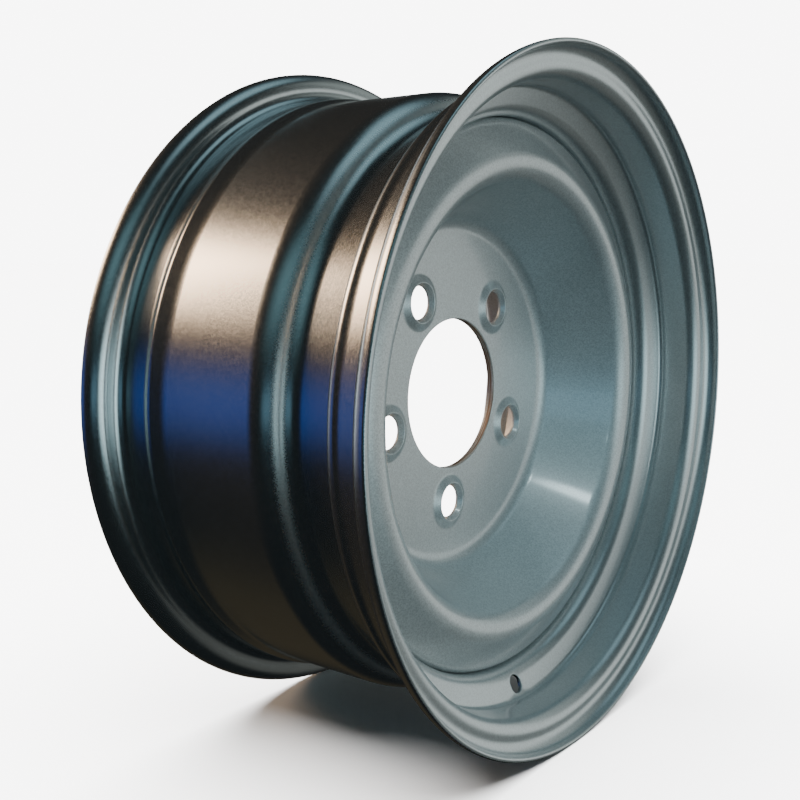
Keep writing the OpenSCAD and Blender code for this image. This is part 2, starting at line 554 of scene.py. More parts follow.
    def _punched_and_reflected_streaks(self, sheet: NodeSheet, place: NodeSocket, wall: PunchedWall,
                 colour: NodeSocket) -> NodeSocket:
        """Paint streaks of steel on the wall of a punched bore, their brown tone partly a painted
        reflection.

        Args:
            sheet: Node helper of the material.
            place: Object coordinates.
            wall: The wall's values.
            colour: Colour of the paint.

        Returns:
            Socket with the changed colour.
        """
        radius = sheet.vector("LENGTH", sheet.vector("MULTIPLY", place, ACROSS_AXLE), result=1)
        near = sheet.share(radius, *(wall.radius + distance for distance in wall.fade))
        drawn = sheet.vector("MULTIPLY", place, wall.streaks)
        streaks = sheet.add("ShaderNodeTexNoise", {
            "Vector": drawn, "Scale": 1.0, "Detail": self.streak_detail}).outputs["Fac"]
        bare_and_reflected = sheet.math("MULTIPLY", near, sheet.share(streaks, *wall.bare_and_reflected))
        # The colours of a Mix node are its inputs 6 and 7 and its output 2.
        colours = {0: bare_and_reflected, 6: colour, 7: (*wall.tone, 1.0)}
        return sheet.add("ShaderNodeMix", colours, data_type="RGBA").outputs[2]


class Workshop:
    """Builds meshes with geometry node trees and turns them into plain pieces."""

    def __init__(self) -> None:
        """Build the trees."""
        self.turning = self._turning_tree()
        self.ring = self._ring_tree()

    @staticmethod
    def _start(name: str, **inputs: str) -> NodeSheet:
        """Start a tree that changes geometry and has a material and the named inputs."""
        inputs = {"Geometry": "Geometry", **inputs, "Material": "Material"}
        return NodeSheet.start(name, "GeometryNodeTree", inputs, {"Geometry": "Geometry"})

    @staticmethod
    def _close(sheet: NodeSheet, geometry: NodeSocket, material: NodeSocket) -> NodeTree:
        """End a tree in smooth, realized geometry with its material.

        Args:
            sheet: Node helper of the tree.
            geometry: What the tree has made.
            material: Its material.

        Returns:
            The finished tree.
        """
        smooth = sheet.add("GeometryNodeSetShadeSmooth", {"Geometry": geometry}).outputs[0]
        whole = sheet.add("GeometryNodeRealizeInstances", {"Geometry": smooth}).outputs[0]
        painted = sheet.add("GeometryNodeSetMaterial", {"Geometry": whole, "Material": material}).outputs[0]
        sheet.add("NodeGroupOutput", {"Geometry": painted})
        return sheet.tree

    def _turning_tree(self) -> NodeTree:
        """Build the tree that turns a section, drawn as radius and axial place, about the Y axis.

        Returns:
            The geometry node tree.
        """
        sheet = self._start("Turned section", Segments="Int")
        source = sheet.add("NodeGroupInput").outputs
        size = sheet.add("GeometryNodeAttributeDomainSize", {"Geometry": source["Geometry"]}).outputs
        across = sheet.math("ADD", source["Segments"], 1.0)
        grid = sheet.add("GeometryNodeMeshGrid", {
            "Size X": 1.0, "Size Y": 1.0,
            "Vertices X": size["Point Count"], "Vertices Y": across}).outputs["Mesh"]
        index = sheet.add("GeometryNodeInputIndex").outputs[0]
        # Half an index keeps the rounding down clear of whole numbers.
        along = sheet.math("FLOOR", sheet.math("DIVIDE", sheet.math("ADD", index, 0.5), across))
        column = sheet.math("SUBTRACT", index, sheet.math("MULTIPLY", along, across))
        sample = sheet.add("GeometryNodeSampleIndex", {
            "Geometry": source["Geometry"], "Index": along}, data_type="FLOAT_VECTOR", domain="POINT")
        position = sheet.add("GeometryNodeInputPosition").outputs[0]
        sheet.tree.links.new(position, next(s for s in sample.inputs if s.name == "Value" and s.enabled))
        drawn = next(s for s in sample.outputs if s.enabled)
        split = sheet.add("ShaderNodeSeparateXYZ", {0: drawn}).outputs
        angle = sheet.math("DIVIDE", sheet.math("MULTIPLY", column, math.tau), source["Segments"])
        place = sheet.add("ShaderNodeCombineXYZ", {
            "X": sheet.math("MULTIPLY", split["X"], sheet.math("COSINE", angle)),
            "Y": split["Y"],
            "Z": sheet.math("MULTIPLY", split["X"], sheet.math("SINE", angle))}).outputs[0]
        moved = sheet.add("GeometryNodeSetPosition", {"Geometry": grid, "Position": place}).outputs[0]
        merged = sheet.add("GeometryNodeMergeByDistance", {
            "Geometry": moved, "Distance": WELD_DISTANCE}).outputs[0]
        return self._close(sheet, merged, source["Material"])

    def _ring_tree(self) -> NodeTree:
        """Build the tree that repeats a feature in equal turns about the Y axis.

        Returns:
            The geometry node tree.
        """
        sheet = self._start("Ring of copies", **{"Count": "Int", "First Turn": "Float"})
        source = sheet.add("NodeGroupInput").outputs
        points = sheet.add("GeometryNodePoints", {"Count": source["Count"]}).outputs[0]
        index = sheet.add("GeometryNodeInputIndex").outputs[0]
        step = sheet.math("DIVIDE", math.tau, source["Count"])
        turn = sheet.math("ADD", sheet.math("MULTIPLY", index, step), source["First Turn"])
        euler = sheet.add("ShaderNodeCombineXYZ", {"Y": turn}).outputs[0]
        rotation = sheet.add("FunctionNodeEulerToRotation", {0: euler}).outputs[0]
        copies = sheet.add("GeometryNodeInstanceOnPoints", {
            "Points": points, "Instance": source["Geometry"], "Rotation": rotation}).outputs[0]
        return self._close(sheet, copies, source["Material"])

    @staticmethod
    def run(tree: NodeTree, mesh: Mesh, values: dict[str, object]) -> Mesh:
        """Run a tree on a mesh.

        Args:
            tree: Geometry node tree.
            mesh: Its input geometry, which is removed afterwards.
            values: Its inputs by name.

        Returns:
            The result as a plain mesh.
        """
        item = bpy.data.objects.new(tree.name, mesh)
        bpy.context.scene.collection.objects.link(item)
        modifier = item.modifiers.new(tree.name, "NODES")
        modifier.node_group = tree
        for socket in tree.interface.items_tree:
            if socket.in_out == "INPUT" and socket.name in values:
                modifier[socket.identifier] = values[socket.name]
        graph = bpy.context.evaluated_depsgraph_get()
        made = bpy.data.meshes.new_from_object(item.evaluated_get(graph), depsgraph=graph)
        bpy.data.objects.remove(item)
        bpy.data.meshes.remove(mesh)
        return made

    def turned(self, points: Sequence[Vector], segments: int, material: Material) -> Mesh:
        """Turn a section about the Y axis.

        Args:
            points: Section in millimetres, with its first point repeated at the end where it is closed.
            segments: Faces round the axis.
            material: Material of the mesh.

        Returns:
            The turned mesh.
        """
        section = bpy.data.meshes.new("section")
        section.from_pydata([(p.x * MM, p.y * MM, 0.0) for p in points], [], [])
        return self.run(self.turning, section, {"Segments": segments, "Material": material})

    def ringed(self, mesh: Mesh, count: int, first: float, material: Material) -> Mesh:
        """Repeat a mesh in equal turns about the Y axis, the first turned by an angle in radians."""
        return self.run(self.ring, mesh, {"Count": count, "First Turn": first, "Material": material})

    @staticmethod
    def piece(name: str, meshes: Sequence[Mesh], material: Material) -> Object:
        """Join meshes into one closed piece.

        Args:
            name: Name of the piece.
            meshes: Its parts, whose shared edges are merged.
            material: Its material.

        Returns:
            The object, at the origin.
        """
        bm = bmesh.new()
        for mesh in meshes:
            bm.from_mesh(mesh)
            bpy.data.meshes.remove(mesh)
        bmesh.ops.remove_doubles(bm, verts=bm.verts, dist=2 * WELD_DISTANCE)
        for face in bm.faces:
            face.material_index = 0
        made = bpy.data.meshes.new(name)
        made.materials.append(material)
        finish_mesh(bm, made)
        item = bpy.data.objects.new(name, made)
        bpy.context.scene.collection.objects.link(item)
        return item


def finish_mesh(bm: BMesh, mesh: Mesh) -> None:
    """Turn all faces outwards, shade them smooth and write them to a mesh.

    Args:
        bm: The faces, which are freed afterwards.
        mesh: The mesh that takes them.
    """
    bmesh.ops.recalc_face_normals(bm, faces=bm.faces)
    for face in bm.faces:
        face.smooth = True
    bm.to_mesh(mesh)
    bm.free()


def spot(point: Vector, angle: float) -> Vector:
    """Return a section point in millimetres at an angle about the axle, in metres."""
    return Vector((point.x * math.cos(angle), point.y, point.x * math.sin(angle))) * MM


def bridge(bm: BMesh, one: Sequence[BMVert], two: Sequence[BMVert]) -> None:
    """Add the faces between two rings of equal count."""
    for k, after in enumerate([*range(1, len(one)), 0]):
        bm.faces.new((one[k], one[after], two[after], two[k]))


def grow(bm: BMesh, ring: Sequence[BMVert], places: Sequence[Vector]) -> list[BMVert]:
    """Add a ring of points and the faces between it and the last ring.

    Args:
        bm: The mesh.
        ring: The last ring.
        places: Places of the new points.

    Returns:
        The new ring.
    """
    fresh = [bm.verts.new(p) for p in places]
    bridge(bm, ring, fresh)
    return fresh


def open_edges(mesh: Mesh) -> int:
    """Count the edges of a mesh that don't have two faces.

    Args:
        mesh: The mesh.

    Returns:
        Number of such edges.
    """
    bm = bmesh.new()
    bm.from_mesh(mesh)
    count = sum(len(e.link_faces) != 2 for e in bm.edges)
    bm.free()
    return count


def hand_over(item: Object, node: Node) -> None:
    """Put a piece on its body in place of its solid and report it.

    Args:
        item: The piece.
        node: The solid that it stands for.
    """
    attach(item, Body.ROOT.value)
    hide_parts(node.value)
    LOG.info("%s: %d faces, %d open edges", item.name, len(item.data.polygons), open_edges(item.data))


class WheelPiece:
    """Piece of the wheel, made of meshes that are joined and handed over in place of a solid.

    Attributes:
        name: Name of the piece.
        node: The solid that it stands for.
        slot: The record's material slot.
    """

    name: ClassVar[str]
    node: ClassVar[Node]
    slot: ClassVar[Slot]

    def parts(self, shop: Workshop, paint: Material) -> list[Mesh]:
        """Return the meshes of the piece."""
        raise NotImplementedError

    def cut(self, mesh: Mesh) -> None:
        """Cut what the joined mesh still needs, which is nothing for most pieces."""

    def build(self, shop: Workshop, paint: Material) -> Object:
        """Build the piece.

        Args:
            shop: Maker of turned and repeated meshes.
            paint: Its material.

        Returns:
            The piece.
        """
        item = shop.piece(self.name, self.parts(shop, paint), paint)
        self.cut(item.data)
        hand_over(item, self.node)
        return item


@dataclass
class RimBarrel(WheelPiece):
    """Rolled barrel with flanges, bead seats, humps, drop centre and valve hole.

    Sizes are in millimetres and angles in degrees.
    """

    name: ClassVar[str] = "rim_barrel"
    node: ClassVar[Node] = Node.RIM
    slot: ClassVar[Slot] = Slot.BARREL
    # Corner of the section where the well floor ends towards the rear.
    floor_corner: ClassVar[int] = 6

    bead_d: float = 380.2
    width: float = 177.8
    sheet: float = 2.8
    flange_h: float = 17.4
    curl_r: float = 10.5
    lip: float = 0.4
    heel_r: float = 6.5
    seat_w: float = 19.5
    seat_taper: float = 5.0
    hump_rise: float = 15.0
    hump_r: float = 6.0
    seat_edge_r: float = 10.0
    shoulder_w: float = 6.7
    hump_w: float = 3.4
    well_d: float = 345.0
    floor_w: float = 29.4
    front_slope: float = 66.0
    rear_slope: float = 59.0
    front_bend_r: float = 7.0
    rear_bend_r: float = 11.5
    ledge_d: float = 373.6
    ledge_bend_r: float = 17.0
    ledge_rise: float = 14.0
    ledge_foot_r: float = 20.0
    valve_d: float = 11.5
    valve_turn: float = 2.9
    valve_up: float = 0.41
    valve_lip: float = 0.7
    segments: int = 320
    section: SheetSection = field(init=False)
    shoulder: Vector = field(init=False)
    wall_foot: Vector = field(init=False)
    floor_rear: float = field(init=False)

    def __post_init__(self) -> None:
        """Work out the corners of the section from the sizes."""
        half, bead = self.width / 2, self.bead_d / 2
        flange, well, ledge = bead + self.flange_h, self.well_d / 2, self.ledge_d / 2
        edge_r = bead - self.seat_w * math.tan(math.radians(self.seat_taper))
        edge_y = half - self.seat_w
        rise = math.tan(math.radians(self.hump_rise))
        self.shoulder = Vector((edge_r + self.shoulder_w * rise, self.shoulder_w - edge_y))
        hump = Vector((edge_r + self.hump_w * rise, edge_y - self.hump_w))
        front = self.shoulder.y + (self.shoulder.x - well) / math.tan(math.radians(self.front_slope))
        self.wall_foot = Vector((well, front))
        self.floor_rear = front + self.floor_w
        ledge_front = self.floor_rear + (ledge - well) / math.tan(math.radians(self.rear_slope))
        ledge_rear = hump.y - (hump.x - ledge) / math.tan(math.radians(self.ledge_rise))
        end = half + self.curl_r + self.lip
        self.section = SheetSection((
            Corner(flange, -end),
            Corner(flange, -half, self.curl_r),
            Corner(bead, -half, self.heel_r),
            Corner(edge_r, -edge_y, self.seat_edge_r),
            Corner(self.shoulder.x, self.shoulder.y, self.hump_r),
            Corner(well, front, self.front_bend_r),
            Corner(well, self.floor_rear, self.rear_bend_r),
            Corner(ledge, ledge_front, self.ledge_bend_r),
            Corner(ledge, ledge_rear, self.ledge_foot_r),
            Corner(hump.x, hump.y, self.hump_r),
            Corner(edge_r, edge_y, self.seat_edge_r),
            Corner(bead, half, self.heel_r),
            Corner(flange, half, self.curl_r),
            Corner(flange, end),
        ), self.sheet)

    @property
    def seat_r(self) -> float:
        """Return the inside radius of the well floor, which carries the disc."""
        return self.well_d / 2 - self.sheet

    @property
    def weld_end(self) -> float:
        """Return where the straight part of the well floor ends towards the rear."""
        return self.floor_rear - self.section.reach(self.floor_corner)

    def outline(self) -> list[Vector]:
        """Draw the closed outline of the section.

        Returns:
            Its points, the first one repeated at the end.
        """
        outer, inner = self.section.face(0.0), self.section.face(self.sheet)
        rear = self.section.round_end()
        front = [Vector((p.x, -p.y)) for p in reversed(rear)]
        return outer + rear + inner[::-1] + front + outer[:1]

    def parts(self, shop: Workshop, paint: Material) -> list[Mesh]:
        """Return the turned barrel."""
        return [shop.turned(self.outline(), self.segments, paint)]

    def cut(self, mesh: Mesh) -> None:
        """Cut the valve hole."""
        ValveHole(self).cut(mesh)


@dataclass
class ValveHole:
    """Round hole with eased edges in the front wall of the well. Sizes in millimetres.

    Attributes:
        barrel: The barrel that it is cut into.
        rings: Rings of faces between the opened block and the edge.
        outer_reach: Run of the opened block before and after the hole's middle on the tyre side.
        inner_reach: The same on the open side.
        aside: Half width of the block round the axle.
        ease_turns: Turns of the points on the eased edge, in degrees.
        halvings: Steps of the search for the edge.
    """

    barrel: RimBarrel
    rings: int = 3
    outer_reach: tuple[float, float] = (10.0, 9.5)
    inner_reach: tuple[float, float] = (13.0, 8.0)
    aside: float = 9.5
    ease_turns: tuple[float, ...] = (22.5, 45.0, 67.5, 90.0)
    halvings: int = 50

    def __post_init__(self) -> None:
        """Work out the axis of the hole."""
        barrel = self.barrel
        wall = barrel.shoulder - barrel.wall_foot
        self.centre = barrel.wall_foot + wall * barrel.valve_up
        self.normal = -SheetSection.left(wall.normalized())
        self.angle = math.radians(-90.0 - barrel.valve_turn)
        self.origin = spot(self.centre, self.angle)
        self.axis = (spot(self.centre + self.normal, self.angle) - self.origin).normalized()

    def offset(self, place: Vector) -> Vector:
        """Return the vector from the hole's axis straight out to a place."""
        arm = place - self.origin
        return arm - self.axis * arm.dot(self.axis)

    def cut(self, mesh: Mesh) -> None:
        """Cut the hole through both faces of the barrel.

        Args:
            mesh: Mesh of the barrel, changed in place.
        """
        bm = bmesh.new()
        bm.from_mesh(mesh)
        verts = list(bm.verts)
        tree = KDTree(len(verts))
        for k, v in enumerate(verts):
            tree.insert(v.co, k)
        tree.balance()
        faces = (
            HoleFace(self, 0.0, self.outer_reach, self.axis),
            HoleFace(self, self.barrel.sheet, self.inner_reach, -self.axis),
        )
        mouths = [face.pierce(bm, lambda place: verts[tree.find(place)[1]]) for face in faces]
        sides = [bm.edges.get(pair) for ring in mouths for pair in zip(ring, ring[1:] + ring[:1])]
        bmesh.ops.bridge_loops(bm, edges=sides)
        finish_mesh(bm, mesh)


@dataclass
class HoleFace:
    """One face of the barrel's sheet round the valve hole, laid out flat. Sizes in millimetres.

    Attributes:
        hole: The hole.
        depth: Depth of the face below the tyre side.
        reach: Run of the opened block before and after the hole's middle.
        into: Direction into the sheet.
    """

    hole: ValveHole
    depth: float
    reach: tuple[float, float]
    into: Vector

    def __post_init__(self) -> None:
        """Find the hole's middle on the face."""
        self.line = FaceLine(self.hole.barrel.section.face(self.depth))
        self.middle = self.line.crossing(self.hole.centre, self.hole.normal)
        self.radius = self.line.along(self.middle).x

    def place(self, flat: Vector) -> Vector:
        """Return the place of a flat point, in metres."""
        return spot(self.line.along(self.middle + flat.x), self.hole.angle + flat.y / self.radius)

    def edge(self, way: Vector) -> Vector:
        """Find the hole's edge in one direction from its middle.

        Args:
            way: Flat unit direction.

        Returns:
            Flat place of the edge.
        """
        barrel = self.hole.barrel
        target = (barrel.valve_d / 2 + barrel.valve_lip) * MM
        low, high = 0.0, 2.0 * barrel.valve_d
        for _ in range(self.hole.halvings):
            mid = (low + high) / 2
            inside = self.hole.offset(self.place(way * mid)).length < target
            low, high = (mid, high) if inside else (low, mid)
        return way * low

    def pierce(self, bm: BMesh, nearest: Callable[[Vector], BMVert]) -> list[BMVert]:
        """Replace a block of the face by rings that close in on the hole.

        Args:
            bm: The barrel's mesh.
            nearest: Finds the mesh's point at a place.

        Returns:
            The innermost ring, inside the hole.
        """
        hole, runs = self.hole, self.line.runs
        pitch = math.tau / hole.barrel.segments
        first = max(k for k, run in enumerate(runs) if run < self.middle - self.reach[0])
        last = min(k for k, run in enumerate(runs) if run > self.middle + self.reach[1])
        low = math.floor((hole.angle - hole.aside / self.radius) / pitch)
        high = math.ceil((hole.angle + hole.aside / self.radius) / pitch)
        block = {
            (k, j): nearest(spot(self.line.points[k], j * pitch))
            for k in range(first, last + 1) for j in range(low, high + 1)}
        rim = [(first, j) for j in range(low, high)] + [(k, high) for k in range(first, last)]
        rim += [(last, j) for j in range(high, low, -1)] + [(k, low) for k in range(last, first, -1)]
        ring = [block[key] for key in rim]
        self._clear(bm, set(block.values()), set(ring))
        starts = [Vector((runs[k] - self.middle, (j * pitch - hole.angle) * self.radius)) for k, j in rim]
        ends = [self.edge(start.normalized()) for start in starts]
        for step in range(1, hole.rings + 1):
            share = step / hole.rings
            ring = grow(bm, ring, [self.place(a.lerp(b, share)) for a, b in zip(starts, ends)])
        sills, ease = [v.co.copy() for v in ring], hole.barrel.valve_lip * MM
        for turn in map(math.radians, hole.ease_turns):
            inwards, down = ease * math.sin(turn), ease * (1 - math.cos(turn))
            ring = grow(bm, ring, [
                co - hole.offset(co).normalized() * inwards + self.into * down for co in sills])
        return ring

    @staticmethod
    def _clear(bm: BMesh, block: set[BMVert], rim: set[BMVert]) -> None:
        """Delete the faces within a block and what they leave loose.

        Args:
            bm: The mesh.
            block: All points of the block.
            rim: Its outermost points, which stay.
        """
        loose = block - rim
        faces = {f for v in block for f in v.link_faces if block.issuperset(f.verts)}
        bmesh.ops.delete(bm, geom=list(faces), context="FACES_ONLY")
        edges = {e for v in block for e in v.link_edges if not e.link_faces}
        bmesh.ops.delete(bm, geom=list(edges), context="EDGES")
        bmesh.ops.delete(bm, geom=[v for v in loose if v.is_valid], context="VERTS")


@dataclass
class DishedDisc(WheelPiece):
    """Pressed disc with flat pad, dish, crown, outer flange, centre bore and nut seats.

    Sizes are in millimetres and angles in degrees.
    """

    name: ClassVar[str] = "dished_disc"
    node: ClassVar[Node] = Node.DISC
    slot: ClassVar[Slot] = Slot.DISC

    barrel: RimBarrel
    sheet: float = 5.5
    pad_d: float = 218.6
    pad_bend_r: float = 11.0
    crest_d: float = 274.8
    crest_r: float = 14.0
    crown_fall: float = 14.2
    crown_bend_r: float = 8.0
    crown_inset: float = 5.3
    weld_leg: float = 4.0
    weld_room: float = 0.1
    bore_d: float = 96.0
    bore_ease: float = 0.7
    stud_count: int = 5
    stud_pcd: float = 140.0
    stud_d: float = 20.5
    stud_turn: float = 3.9
    stud_ease: float = 0.4
    nut_cone: float = 60.0
    collar_d: float = 36.8
    collar_h: float = 3.3
    collar_round: float = 0.8
    collar_foot: float = 1.0
    collar_foot_r: float = 4.0
    collar_margin: float = 1.5
    cone_depth: float = 0.2
    relief_d: float = 34.0
    relief_depth: float = 4.0
    relief_r: float = 3.0
    edge_ease: float = 0.6
    flat: float = 0.8
    dish_step: float = 4.0
    bore_step: float = 15.0
    seat_step: float = 6.0
    seat_support: float = 0.3
    segments: int = 320
    seat_segments: int = 72

    @property
    def flange_end(self) -> float:
        """Return the rear edge of the outer flange."""
        return self.barrel.weld_end - self.weld_leg - self.weld_room

    def dish_line(self) -> list[Vector]:
        """Draw the section from the pad's front edge over the flange to the pad's back edge.

        Returns:
            Its points, without those of the pad, which is filled on its own.
        """
        crown = self.barrel.wall_foot.y + self.crown_inset
        section = SheetSection((
            Corner(self.bore_d / 2, -self.sheet),
            Corner(self.pad_d / 2, -self.sheet, self.pad_bend_r),
            Corner(self.crest_d / 2, crown - self.crown_fall, self.crest_r),
            Corner(self.barrel.seat_r, crown, self.crown_bend_r),
            Corner(self.barrel.seat_r, self.flange_end),
        ), self.sheet, step_deg=self.dish_step, support=self.flat)
        front, back = section.face(0.0), section.face(self.sheet)
        # Each face starts with two points at the bore and ends in a corner that the eased end replaces.
        return front[2:-1] + section.eased_end(self.edge_ease) + back[-2:1:-1]

    def bore_line(self) -> list[Vector]:
        """Draw the section of the bore.

        Returns:
            Its points from the pad's front to its back.
        """
        r, out = self.bore_d / 2, self.bore_d / 2 + self.bore_ease + self.flat
        return SheetSection((
            Corner(out, -self.sheet),
            Corner(r, -self.sheet, self.bore_ease),
            Corner(r, 0.0, self.bore_ease),
            Corner(out, 0.0),
        ), step_deg=self.bore_step).face(0.0)

    def seat_line(self) -> list[Vector]:
        """Draw the section of a nut seat.

        Returns:
            Its points from the pad's front, through the hole, to its back.
        """
        hole, pad, collar = self.stud_d / 2, -self.sheet, self.collar_d / 2
        crest = hole + (self.collar_h + self.cone_depth) * math.tan(math.radians(self.nut_cone / 2))
        return SheetSection((
            Corner(collar + self.collar_margin, pad),
            Corner(collar - self.collar_foot, pad, self.collar_foot_r),
            Corner(crest, pad - self.collar_h, self.collar_round),
            Corner(hole, pad + self.cone_depth, self.stud_ease),
            Corner(hole, -self.relief_depth, self.stud_ease),
            Corner(self.relief_d / 2, 0.0, self.relief_r),
            Corner(collar + self.collar_margin, 0.0),
        ), step_deg=self.seat_step, support=self.seat_support).face(0.0)

    def stud_angle(self, k: int) -> float:
        """Return the polar angle of stud hole k in radians."""
        return math.radians(-90.0 - self.stud_turn) - k * math.tau / self.stud_count

    @staticmethod
    def circle(radius: float, count: int, out: float = 0.0) -> list[Vector]:
        """Return the points of a circle whose middle lies out along the first axis."""
        turns = [math.tau * k / count for k in range(count)]
        return [Vector((out + radius * math.cos(a), radius * math.sin(a))) for a in turns]

    def pad_face(self, outer: Vector, bore: Vector, seat: Vector, paint: Material) -> Mesh:
        """Fill one flat side of the pad between the dish, the bore and the nut seats.

        Args:
            outer: Section point where the dish starts.
            bore: Section point where the bore starts.
            seat: Section point where a nut seat starts, measured from its own axis.
            paint: Material of the mesh.

        Returns:
            The flat mesh.
        """
        loops = [self.circle(outer.x, self.segments), self.circle(bore.x, self.segments)]
        pitch = self.stud_pcd / 2
        turns = [Matrix.Rotation(self.stud_angle(k), 2) for k in range(self.stud_count)]
        centres = [turn @ Vector((pitch, 0.0)) for turn in turns]
        loops += [[turn @ p for p in self.circle(seat.x, self.seat_segments, pitch)] for turn in turns]
        points, edges = [], []
        for loop in loops:
            start, count = len(points), len(loop)
            edges += [(start + k, start + (k + 1) % count) for k in range(count)]
            points += loop
        flat, _, faces, *_ = delaunay_2d_cdt(points, edges, [], 0, FLAT_TOLERANCE)
        kept = []
        for f in faces:
            middle = sum((flat[i] for i in f), Vector((0.0, 0.0))) / len(f)
            if middle.length > bore.x and all((middle - c).length > seat.x for c in centres):
                kept.append(list(f))
        mesh = bpy.data.meshes.new("pad")
        mesh.from_pydata([(p.x * MM, outer.y * MM, p.y * MM) for p in flat], [], kept)
        mesh.materials.append(paint)
        return mesh

    def parts(self, shop: Workshop, paint: Material) -> list[Mesh]:
        """Build the dish, the bore, the nut seats and both sides of the pad.

        Args:
            shop: Maker of turned and repeated meshes.
            paint: Their material.

        Returns:
            The meshes, which meet at shared edges.
        """
        dish, bore, seat = self.dish_line(), self.bore_line(), self.seat_line()
        one_seat = shop.turned(seat, self.seat_segments, paint)
        one_seat.transform(Matrix.Translation((self.stud_pcd / 2 * MM, 0.0, 0.0)))
        return [
            shop.turned(dish, self.segments, paint),
            shop.turned(bore, self.segments, paint),
            shop.ringed(one_seat, self.stud_count, -self.stud_angle(0), paint),
            self.pad_face(dish[0], bore[0], seat[0], paint),
            self.pad_face(dish[-1], bore[-1], seat[-1], paint),
        ]


@dataclass
class WeldRuns(WheelPiece):
    """Rippled fillet welds behind the disc's outer flange. Sizes in millimetres.

    Attributes:
        disc: The disc that they hold.
        count: Number of runs.
        length: Length of a run.
        leg: Height of a weld on each sheet.
        end_size: Size of a weld at its ends, as a share of the full one.
        taper_rows: Rows over which an end grows to the full size.
        belly: Height of the rounded surface, as a share of the weld's size.
        bulge: Height that is added to it all over.
        ripple: Length of a ripple.
        ripple_depth: Depth of a ripple, as a share of the rounded surface.
        sweep: How far a ripple's middle runs ahead of its ends, in ripples.
        across: Faces across a weld.
        rows_per_ripple: Rows of faces along a ripple.
    """

    name: ClassVar[str] = "weld_runs"
    node: ClassVar[Node] = Node.WELDS
    slot: ClassVar[Slot] = Slot.WELD

    disc: DishedDisc
    count: int = 8
    length: float = 60.0
    leg: float = 4.0
    end_size: float = 0.35
    taper_rows: int = 8
    belly: float = 0.25
    bulge: float = 0.28
    ripple: float = 2.6
    ripple_depth: float = 0.22
    sweep: float = 1.1
    across: int = 9
    rows_per_ripple: int = 6

    @property
    def rows(self) -> int:
        """Return the number of rows along a run."""
        return round(self.length / self.ripple) * self.rows_per_ripple

    def surface(self, row: int, share: float) -> Vector:
        """Find a point of the rippled surface.

        Args:
            row: Row along the run.
            share: Place across the weld, from the barrel at 0 to the disc at 1.

        Returns:
            Radius and axial place.
        """
        hump = math.sin(math.pi * share)
        wave = (row / self.rows_per_ripple - self.sweep * (1 - (2 * share - 1) ** 2)) % 1.0
        grown = min(1.0, row / self.taper_rows, (self.rows - row) / self.taper_rows)
        size = self.leg * (self.end_size + (1 - self.end_size) * math.sin(grown * math.pi / 2))
        height = (self.belly * size * hump + self.bulge) * (1 - self.ripple_depth * wave * hump)
        out = height / 2 * hump
        seat, end = self.disc.barrel.seat_r, self.disc.flange_end
        return Vector((seat - size * share - out, end + size * (1 - share) + out))

    def run(self) -> Mesh:
        """Build one run of weld, from its start to its end clockwise about the axle.

        Returns:
            The closed mesh of one run.
        """
        root = Vector((self.disc.barrel.seat_r, self.disc.flange_end))
        bm = bmesh.new()
        rings = []
        for row in range(self.rows + 1):
            angle = -self.length / root.x * row / self.rows
            line = [self.surface(row, k / self.across) for k in range(self.across + 1)]
            rings.append([bm.verts.new(spot(point, angle)) for point in [*line, root]])
        for one, two in zip(rings, rings[1:]):
            bridge(bm, one, two)
        bm.faces.new(rings[0])
        bm.faces.new(rings[-1])
        mesh = bpy.data.meshes.new("weld_run")
        finish_mesh(bm, mesh)
        return mesh

    def parts(self, shop: Workshop, paint: Material) -> list[Mesh]:
        """Return all the runs in one mesh."""
        return [shop.ringed(self.run(), self.count, 0.0, paint)]


@dataclass(frozen=True)
class Panel:
    """Soft panel of light in some direction from the wheel.

    Attributes:
        name: What the panel stands for.
        azimuth: Direction of its middle about Z, in degrees from +X towards +Y.
        elevation: Height of its middle above the horizon in degrees.
    """

    name: str
    azimuth: float
    elevation: float


@dataclass(frozen=True)
class Glow(Panel):
    """Panel in the studio's surround.

    Attributes:
        half_width: Half of its width in degrees.
        half_height: Half of its height in degrees.
        softness: Share of its half sizes over which it fades.
        tint: Light that it gives off.
    """

    half_width: float
    half_height: float
    softness: float
    tint: Triple


@dataclass(frozen=True)
class Lamp(Panel):
    """Panel that lights the disc alone.

    Attributes:
        width: Width in metres.
        height: Height in metres.
        tint: Light that it gives off.
    """

    width: float
    height: float
    tint: Triple


